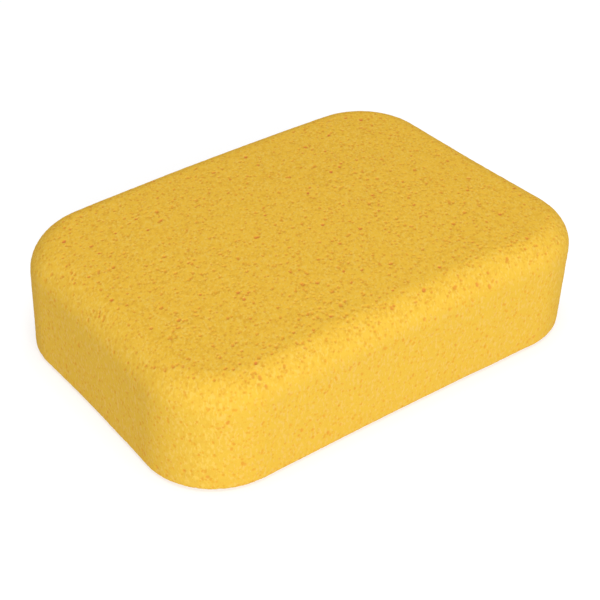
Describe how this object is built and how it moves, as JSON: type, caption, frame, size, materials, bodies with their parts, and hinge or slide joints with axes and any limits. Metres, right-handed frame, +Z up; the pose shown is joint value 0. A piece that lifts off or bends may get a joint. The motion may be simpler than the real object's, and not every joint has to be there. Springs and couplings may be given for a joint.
{
  "type": "grout sponge",
  "caption": "Rectangular block of open-cell foam with large corner radii and a rounded upper edge, held in the hand to wipe grout from tiles.",
  "frame": {"origin": "middle of the underside, on the surface that the sponge rests on", "axes": "+X along the length, +Y across the width, +Z up from the underside to the upper face with the large edge round"},
  "size_m": [0.1906, 0.1396, 0.0476],
  "materials": {
    "foam": "matte"
  },
  "bodies": {
    "root": {"foam_block": "foam"}
  },
  "joints": []
}
